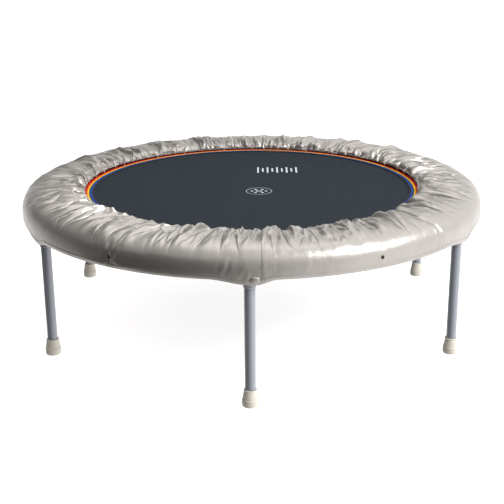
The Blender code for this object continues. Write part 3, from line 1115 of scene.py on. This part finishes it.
def draw_up(uncut, drawn, tied):
    """Simulate the elastic: the top edge is pulled in over the foam while the hem stays where it is."""
    faces = []
    for start in range(0, (ROWS - 1) * COLUMNS, COLUMNS):
        below = start + COLUMNS
        for k in range(COLUMNS):
            m = (k + 1) % COLUMNS
            faces.append((start + k, below + k, below + m, start + m))
    mesh = bpy.data.meshes.new("strip")
    mesh.from_pydata(uncut.reshape(-1, 3).tolist(), [], faces)
    strip = in_scene("strip", mesh)
    strip.shape_key_add(name="Basis")
    key = strip.shape_key_add(name="drawn")
    key.data.foreach_set("co", drawn.astype(np.float32).ravel())
    for value, moment in ((0.0, 1), (1.0, DRAWN_IN_AT)):
        key.value = value
        key.keyframe_insert("value", frame=moment)
    held = strip.vertex_groups.new(name="held")
    held.add(list(range(COLUMNS)), 1.0, "REPLACE")
    held.add(list(range((ROWS - 1) * COLUMNS, ROWS * COLUMNS)) + tied, 1.0, "REPLACE")
    cloth = strip.modifiers.new("Cloth", "CLOTH")
    for setting, value in NYLON.items():
        setattr(cloth.settings, setting, value)
    cloth.settings.vertex_group_mass = "held"
    cloth.settings.effector_weights.gravity = 0.1
    cloth.collision_settings.distance_min = CLEARANCE
    cloth.collision_settings.collision_quality = 2
    cloth.point_cache.frame_start = 1
    cloth.point_cache.frame_end = LAST_MOMENT
    pad_radius, pad_height, _ = smooth_line(PAD_PROFILE, 48)
    pad = in_scene("pad", turned("pad", list(zip(pad_radius, pad_height))[::-1], 240, closed=False))
    pad.modifiers.new("Collision", "COLLISION")
    pad.collision.thickness_outer = CLEARANCE
    pad.collision.cloth_friction = 4
    scene = bpy.context.scene
    scene.frame_start = 1
    scene.frame_end = LAST_MOMENT
    for moment in range(1, LAST_MOMENT + 1):
        scene.frame_set(moment)
    cloth_at_rest = settled(strip)
    points = np.zeros(len(cloth_at_rest.vertices) * 3, np.float32)
    cloth_at_rest.vertices.foreach_get("co", points)
    bpy.data.objects.remove(pad)
    scene.frame_set(1)
    return points.reshape(ROWS, COLUMNS, 3).astype(float)


uncut_strip, drawn_strip, pleat_rise, above_hem = cover_shapes()
tied_points = tie_eyelets(drawn_strip, above_hem)
cloth_points = draw_up(uncut_strip, drawn_strip, tied_points)


def relax(points, rounds):
    """Average each point with its neighbours, so that the finest wrinkles of the simulation fade."""
    for _ in range(rounds):
        points[:] = 0.5 * points + 0.25 * (np.roll(points, 1, 1) + np.roll(points, -1, 1))
        points[2:-2] = 0.5 * points[2:-2] + 0.25 * (points[1:-3] + points[3:-1])


def ridges(share):
    """Heights, per row and column, of crisp folds that run outwards from the elastic, steep on one side."""
    draw = np.random.default_rng(23)
    column = np.linspace(0, tau, COLUMNS, endpoint=False)[None, :]
    share = share[:, None]
    height = np.zeros((len(share), COLUMNS))
    for _ in range(RIDGES):
        start = draw.uniform(0, tau)
        slant = draw.normal(0.0, 0.07)
        reach = draw.uniform(0.30, 0.75)
        width = draw.uniform(0.014, 0.032)
        tall = draw.uniform(0.0030, 0.0095)
        steep = draw.choice([0.35, 2.8])
        gap = (column - start - slant * share + pi) % tau - pi
        spread = width * (0.7 + share) * np.where(gap < 0, 1.0, steep) / max(1.0, steep / 1.6)
        fade = np.clip(share / 0.10, 0, 1) * np.clip((reach - share) / 0.18, 0, 1)
        height = np.maximum(height, tall * fade * np.exp(-np.abs(gap) / spread))
    return height


def deepen_folds(points, gain):
    """Lift each fold further off the foam, along the section's normal, as thin crisp nylon stands."""
    radius, height, place = smooth_line(COVER_PROFILE, ROWS, ROW_CROWDING)
    normal = np.stack([-np.gradient(height), np.gradient(radius)], axis=1)
    normal /= np.linalg.norm(normal, axis=1, keepdims=True)
    row = np.arange(ROWS)
    gains = gain * np.clip(row / LIFT_ROWS[0], 0, 1) * np.clip((ROWS - 1 - row) / LIFT_ROWS[1], 0, 1)
    here = np.hypot(points[:, :, 0], points[:, :, 1])
    off = (here - radius[:, None]) * normal[:, :1] + (points[:, :, 2] - height[:, None]) * normal[:, 1:]
    base = np.percentile(off, 10, axis=1)[:, None]
    lift = gains[:, None] * np.clip(off - base, 0.0, HIGHEST_LIFT) + ridges(place / place[-1])
    lift = np.minimum(lift, np.maximum(HIGHEST_FOLD - off, 0.0))
    points[:, :, :2] *= ((here + lift * normal[:, :1]) / here)[:, :, None]
    points[:, :, 2] += lift * normal[:, 1:]


relax(cloth_points, 1)
deepen_folds(cloth_points, FOLD_GAIN)


def tuck_lines(tree, place):
    """A height with thin sharp valleys that run outwards from the elastic and fade before the side wall."""
    radius, flat = radius_of(tree, place)
    spread = vector_of(tree, "SCALE", vector_of(tree, "NORMALIZE", flat), 13.0)
    along = xyz(tree, z=sum_of(tree, "MULTIPLY", radius, 4.0))
    noise = noise_of(tree, vector_of(tree, "ADD", spread, along), 1.0, 1.6)
    valley = sum_of(tree, "ABSOLUTE", sum_of(tree, "SUBTRACT", noise, 0.5))
    fade = ranged(tree, radius, 0.535, 0.592, 1.0, 0.03)
    return sum_of(tree, "MULTIPLY", sum_of(tree, "SQRT", valley), fade)


def silver_cloth(name, colour, shade, roughness):
    """Satin nylon with a metallic coat: a fine weave, faint creases and an uneven sheen."""
    material, tree, shader = new_material(name, {"Metallic": 0.68})
    coordinates = add_node(tree, "ShaderNodeTexCoord")
    place = coordinates.outputs["Object"]
    patches = noise_of(tree, place, 14.0, 5.0)
    creases = noise_of(tree, place, 55.0, 6.0)
    mixed = between(tree, patches, (*colour, 1.0), (*shade, 1.0))
    rough = ranged(tree, patches, 0.0, 1.0, roughness - 0.06, roughness + 0.08)
    weave = weave_of(tree, coordinates.outputs["UV"], 1500.0)
    tree.links.new(mixed, shader.inputs["Base Color"])
    tree.links.new(rough, shader.inputs["Roughness"])
    fine = add_bump(tree, shader, weave, 0.15, 0.0002)
    broad = add_node(tree, "ShaderNodeBump", {"Height": creases, "Strength": 0.20, "Distance": 0.002})
    tree.links.new(broad.outputs["Normal"], fine.inputs["Normal"])
    tucks = tuck_lines(tree, place)
    deep = add_node(tree, "ShaderNodeBump", {"Height": tucks, "Strength": 0.9, "Distance": 0.022})
    tree.links.new(deep.outputs["Normal"], broad.inputs["Normal"])
    return material


SILVER_NYLON = silver_cloth("silver_nylon", (0.42, 0.40, 0.38), (0.34, 0.32, 0.30), 0.33)


def cloth_mesh(points, thickness):
    """A skin of cloth from rows of points, given its thickness behind its face."""
    holder = in_scene("cloth", loft("cloth", points[::-1].swapaxes(0, 1), closed_ring=False))
    solidify = holder.modifiers.new("thickness", "SOLIDIFY")
    solidify.thickness = thickness
    solidify.offset = -1.0
    return settled(holder)


cover_mesh = cloth_mesh(cloth_points, CLOTH_THICKNESS)
cover = add_piece("cover_cloth", cover_mesh, SILVER_NYLON, "frame", ["cover"])

# ---------------------------------------------------------------------------
# Cover trims
# The cover's hem is folded round its lower edge and lockstitched. The strip's ends meet in a lapped seam
# by the front leg, and again behind; each span has a dark metal eyelet, its hole closed by a floor of the
# same near-black as painted shade, with a short bar tack above it.

row_direction = np.gradient(cloth_points, axis=0)
column_direction = np.roll(cloth_points, -1, 1) - np.roll(cloth_points, 1, 1)
cloth_normals = np.cross(row_direction, column_direction)
cloth_normals /= np.linalg.norm(cloth_normals, axis=2, keepdims=True)
HEM_WIDTH = 0.0110
SEAM_HALF_WIDTH = radians(0.42)
TACK_ABOVE_EYELET = 0.026
CASING_RADIUS = 0.0016
CASING_PUCKER = 0.0004
ELASTIC_RADIUS = 0.0009
TAB_HALF_WIDTH = radians(1.15)
TAB_HALF_HEIGHT = 0.0075
TAB_ABOVE_HEM = 0.0085
TAB_BESIDE_SEAM = radians(1.9)
SEAM_ANGLES = (radians(-87.1), radians(92.9))


def on_cloth(angle, height, proud=0.0):
    """A point of the cover, at an angle and a distance along the cloth from its hem, lifted by proud."""
    column = (angle + pi / 2) / tau * COLUMNS
    row = np.interp(height, above_hem[::-1], np.arange(ROWS)[::-1])
    first_row = min(int(row), ROWS - 2)
    first_column = int(np.floor(column))
    share_row = row - first_row
    share_column = column - first_column
    point = np.zeros(3)
    normal = np.zeros(3)
    for r, weight_r in ((first_row, 1 - share_row), (first_row + 1, share_row)):
        for c, weight_c in ((first_column, 1 - share_column), (first_column + 1, share_column)):
            point += weight_r * weight_c * cloth_points[r, c % COLUMNS]
            normal += weight_r * weight_c * cloth_normals[r, c % COLUMNS]
    return point + proud * normal / np.linalg.norm(normal)


def tube_along(points, radius, sides):
    """A closed tube of cloth or cord round a closed line of points; radius may vary along it."""
    along = np.roll(points, -1, 0) - np.roll(points, 1, 0)
    along /= np.linalg.norm(along, axis=1, keepdims=True)
    side = np.cross(along, (0.0, 0.0, 1.0))
    side /= np.linalg.norm(side, axis=1, keepdims=True)
    up = np.cross(side, along)
    rings = []
    for k in range(sides):
        rings.append(points + radius * (cos(tau * k / sides) * side + sin(tau * k / sides) * up))
    return loft("tube", np.stack(rings, axis=1))


def hem_mesh():
    """The folded hem, as a thin band outside and inside the cloth and round its edge."""
    rings = []
    for step in range(600):
        angle = tau * step / 600 - pi / 2
        outer = [(HEM_WIDTH, 0.0002), (HEM_WIDTH - 0.0008, 0.0007), (0.006, 0.0008), (0.0, 0.0008)]
        inner = [(0.0, -0.0012), (0.006, -0.0013), (HEM_WIDTH, -0.0012)]
        ring = [on_cloth(angle, height, proud) for height, proud in outer]
        ring.append(on_cloth(angle, 0.0, 0.0003) - np.array((0.0, 0.0, 0.0009)))
        ring.append(on_cloth(angle, 0.0, -0.0007) - np.array((0.0, 0.0, 0.0009)))
        ring += [on_cloth(angle, height, proud) for height, proud in inner]
        rings.append(ring[::-1])
    return loft("cover_hem", rings)


def seam_mesh(angle):
    """A lapped strip from the hem up the wall and over the top to the elastic."""
    rings = []
    top = above_hem[1]
    for step in range(61):
        height = HEM_WIDTH + (top - HEM_WIDTH) * step / 60
        ring = []
        for side, proud in ((-1.0, 0.0001), (-0.85, 0.0009), (0.0, 0.0012), (0.85, 0.0009), (1.0, 0.0001)):
            ring.append(on_cloth(angle + side * SEAM_HALF_WIDTH, height, proud))
        for side in (1.0, 0.0, -1.0):
            ring.append(on_cloth(angle + side * SEAM_HALF_WIDTH, height, -0.0004))
        rings.append(ring)
    return capped(loft("seam", rings, closed_path=False))


def tab_mesh(angle, height):
    """A small rounded end of the hem's fold, puffed where it was turned in."""
    rings = []
    for share, proud in ((0.0, 0.0021), (0.35, 0.0020), (0.7, 0.0016), (0.92, 0.0010), (1.0, 0.0001)):
        ring = []
        for k in range(24):
            turn = tau * k / 24
            across = share * TAB_HALF_WIDTH * cos(turn)
            ring.append(on_cloth(angle + across, height + share * TAB_HALF_HEIGHT * sin(turn), proud))
        rings.append(ring)
    return capped(loft("tab", rings, closed_path=False))


def stitch_path(points):
    return path_mesh([tuple(point) for point in points], closed=False)


casing_line = cloth_points[0] - np.array((0.0, 0.0, 0.0012))
casing_radius = CASING_RADIUS + CASING_PUCKER * np.sin(np.arange(COLUMNS) * 1.9)[:, None]
casing_mesh = tube_along(casing_line, casing_radius, 7)
casing = add_piece("cover_casing", casing_mesh, SILVER_NYLON, "frame")
ELASTIC = grained_material(
    "elastic", colour=(0.50, 0.48, 0.45), shade=(0.38, 0.36, 0.34),
    finish={"Roughness": 0.8, "Sheen Weight": 0.2},
    patch_scale=300.0, grain_scale=2500.0, bump_strength=0.5, bump_distance=0.0003,
)
elastic_mesh = tube_along(casing_line[::3], ELASTIC_RADIUS, 6)
add_piece("elastic_cord", elastic_mesh, ELASTIC, "frame", ["cover_elastic"])
hem = add_piece("cover_hem", hem_mesh(), SILVER_NYLON, "frame")
SILVER_THREAD = grained_material(
    "silver_thread", colour=(0.30, 0.28, 0.26), shade=(0.20, 0.19, 0.18),
    finish={"Roughness": 0.55, "Sheen Weight": 0.2},
    patch_scale=200.0, grain_scale=3000.0, bump_strength=0.3, bump_distance=0.0002,
)
rows = []
hem_line = [on_cloth(tau * k / 900 - pi / 2, HEM_WIDTH - 0.002, 0.0009) for k in range(901)]
rows.append(stitch_path(hem_line))
for seam_angle in SEAM_ANGLES:
    for side in (-0.7, 0.7):
        angle = seam_angle + side * SEAM_HALF_WIDTH
        rows.append(stitch_path([on_cloth(angle, HEM_WIDTH + 0.0022 * k, 0.0012) for k in range(88)]))
cover_thread = {"Spacing": 0.0042, "Length": 0.0033, "Width": 0.0006, "Unevenness": 0.08, "Seed": 5}
cover_thread["Material"] = SILVER_THREAD
cover_rows = joined("cover_stitches", [grown("stitches", ROW_ALONG_PATH, cover_thread, row) for row in rows])
stitches = add_piece("cover_stitches", cover_rows, SILVER_THREAD, "frame")
seam_meshes = joined("cover_seams", [seam_mesh(angle) for angle in SEAM_ANGLES])
seams = add_piece("cover_seams", seam_meshes, SILVER_NYLON, "frame")
tab_meshes = [tab_mesh(angle - TAB_BESIDE_SEAM, TAB_ABOVE_HEM) for angle in SEAM_ANGLES]
tabs = add_piece("hem_tabs", joined("hem_tabs", tab_meshes), SILVER_NYLON, "frame")
# The eyelet is dark metal, and its hole is closed by a shallow floor of the same near-black, painted shade
# where the hole would be dark.
EYELET_METAL_AND_HOLE_SHADE = steel_finish("eyelet_metal", (0.05, 0.05, 0.052), 0.35, 1.0)
eyelet_outline = [
    (0.0, 0.0004), (0.0019, 0.0004), (0.0021, 0.0010), (0.0028, 0.0013), (0.0040, 0.0011),
    (0.0044, 0.0004), (0.0044, -0.0002), (0.0, -0.0002),
]
for number in range(1, LEGS + 1):
    angle = eyelet_angle(number)
    place = Vector(on_cloth(angle, EYELET_ABOVE_HEM))
    outwards = Vector(on_cloth(angle, EYELET_ABOVE_HEM, 1.0)) - place
    eyelet = turned("eyelet", eyelet_outline[::-1], 28, closed=False)
    eyelet.transform(Matrix.Translation(place) @ along_z(outwards))
    add_piece(f"cover_eyelet_{number}", eyelet, EYELET_METAL_AND_HOLE_SHADE, "frame")
    tack_height = EYELET_ABOVE_HEM + TACK_ABOVE_EYELET
    tack_line = [on_cloth(angle + radians(0.35 * k - 1.4), tack_height, 0.0003) for k in range(5)]
    tack_sizes = {"Spacing": 0.0036, "Length": 0.0030, "Width": 0.0010, "Unevenness": 0.15, "Seed": number}
    tack = grown("tack", ROW_ALONG_PATH, {**tack_sizes, "Material": THREAD}, stitch_path(tack_line))
    add_piece(f"bar_tack_{number}", tack, THREAD, "frame")

# ---------------------------------------------------------------------------
# Floor, light and camera
# The trampoline stands on a plain pale studio floor, lit from the right by a large soft lamp.

FLOOR_REACH = 40.0
FLAG_PLACE = Vector((-0.52, -0.97, 0.355))
FLAG_FACING = Vector((0.52, 0.655, 0.546))
FLAG_HALF_SIZE = (0.55, 0.41)
STUDIO_SIDE = (0.75, 0.66, 0.0)
CAMERA_PLACE = (0.0, -2.600, 1.037)
LOOK_AT = (0.0, 0.0, 0.3)


def flat_piece(name, finish, half_size, place=None):
    """A rectangle on the ground round the origin, or placed by a matrix."""
    signs = ((-1, -1), (1, -1), (1, 1), (-1, 1))
    corners = [(place or Matrix()) @ Vector((x * half_size[0], y * half_size[1], 0.0)) for x, y in signs]
    mesh = bpy.data.meshes.new(name)
    mesh.from_pydata([tuple(corner) for corner in corners], [], [(0, 1, 2, 3)])
    mesh.materials.append(new_material(f"{name}_finish", finish)[0])
    piece = in_scene(name, mesh)
    return piece


floor_finish = {"Base Color": (0.90, 0.90, 0.90, 1.0), "Roughness": 0.7, "Specular IOR Level": 0.2}
floor_glow = {"Emission Color": (1.0, 1.0, 1.0, 1.0), "Emission Strength": 0.72}
floor = flat_piece("floor", {**floor_finish, **floor_glow}, (FLOOR_REACH, FLOOR_REACH))
floor.visible_diffuse = False
floor.visible_glossy = False


def studio_world():
    """A studio that is bright overhead, behind and to the right, and dark low in front to the left."""
    world = bpy.data.worlds.new("studio")
    world.use_nodes = True
    tree = world.node_tree
    direction = add_node(tree, "ShaderNodeTexCoord").outputs["Generated"]
    split = add_node(tree, "ShaderNodeSeparateXYZ", {0: direction})
    height = split.outputs[2]
    overhead = ranged(tree, height, 0.25, 0.95, 0.05, 0.70)
    side = add_node(tree, "ShaderNodeVectorMath", {0: direction, 1: STUDIO_SIDE}, operation="DOT_PRODUCT")
    away = ranged(tree, side.outputs["Value"], -0.85, 0.2, 0.0, 1.75)
    right = ranged(tree, split.outputs[0], -0.65, 0.65, 0.02, 1.15)
    low = ranged(tree, height, -0.2, 0.25, 1.0, 0.0)
    around = sum_of(tree, "MULTIPLY", away, low)
    above = sum_of(tree, "MULTIPLY", right, sum_of(tree, "SUBTRACT", 1.0, low))
    strength = sum_of(tree, "ADD", sum_of(tree, "ADD", around, above), overhead)
    tree.links.new(strength, tree.nodes["Background"].inputs["Strength"])
    tree.nodes["Background"].inputs["Color"].default_value = (1.0, 0.985, 0.97, 1.0)
    return world


# A black cloth on a stand, left of the camera, is seen by the cover and the front leg only.
flag_finish = {"Base Color": (0.02, 0.018, 0.017, 1.0), "Roughness": 0.9, "Specular IOR Level": 0.0}
flag_at = Matrix.Translation(FLAG_PLACE) @ along_z(FLAG_FACING)
flag = flat_piece("dark_flag", flag_finish, FLAG_HALF_SIZE, flag_at)
flag.visible_camera = False
flag.visible_shadow = False
bpy.context.scene.world = studio_world()
bpy.context.scene.view_settings.view_transform = "Standard"


def add_lamp(name, place, energy, size):
    """A square area lamp that faces the trampoline."""
    data = bpy.data.lights.new(name, "AREA")
    data.energy = energy
    data.size = size
    lamp = in_scene(name, data)
    lamp.location = place
    lamp.rotation_euler = (Vector(LOOK_AT) - Vector(place)).to_track_quat("-Z", "Y").to_euler()


add_lamp("key", (2.0, -1.4, 1.9), energy=58.0, size=0.8)
add_lamp("top", (0.0, 0.4, 2.6), energy=9.0, size=1.8)

camera_data = bpy.data.cameras.new("camera")
camera_data.sensor_width = 36.0
camera_data.lens = 71.8
camera = in_scene("camera", camera_data)
aim = Matrix.Rotation(radians(71.57), 4, "X") @ Matrix.Rotation(radians(-0.4), 4, "Z")
camera.matrix_world = Matrix.Rotation(radians(0.56), 4, "Z") @ Matrix.Translation(CAMERA_PLACE) @ aim
bpy.context.scene.camera = camera
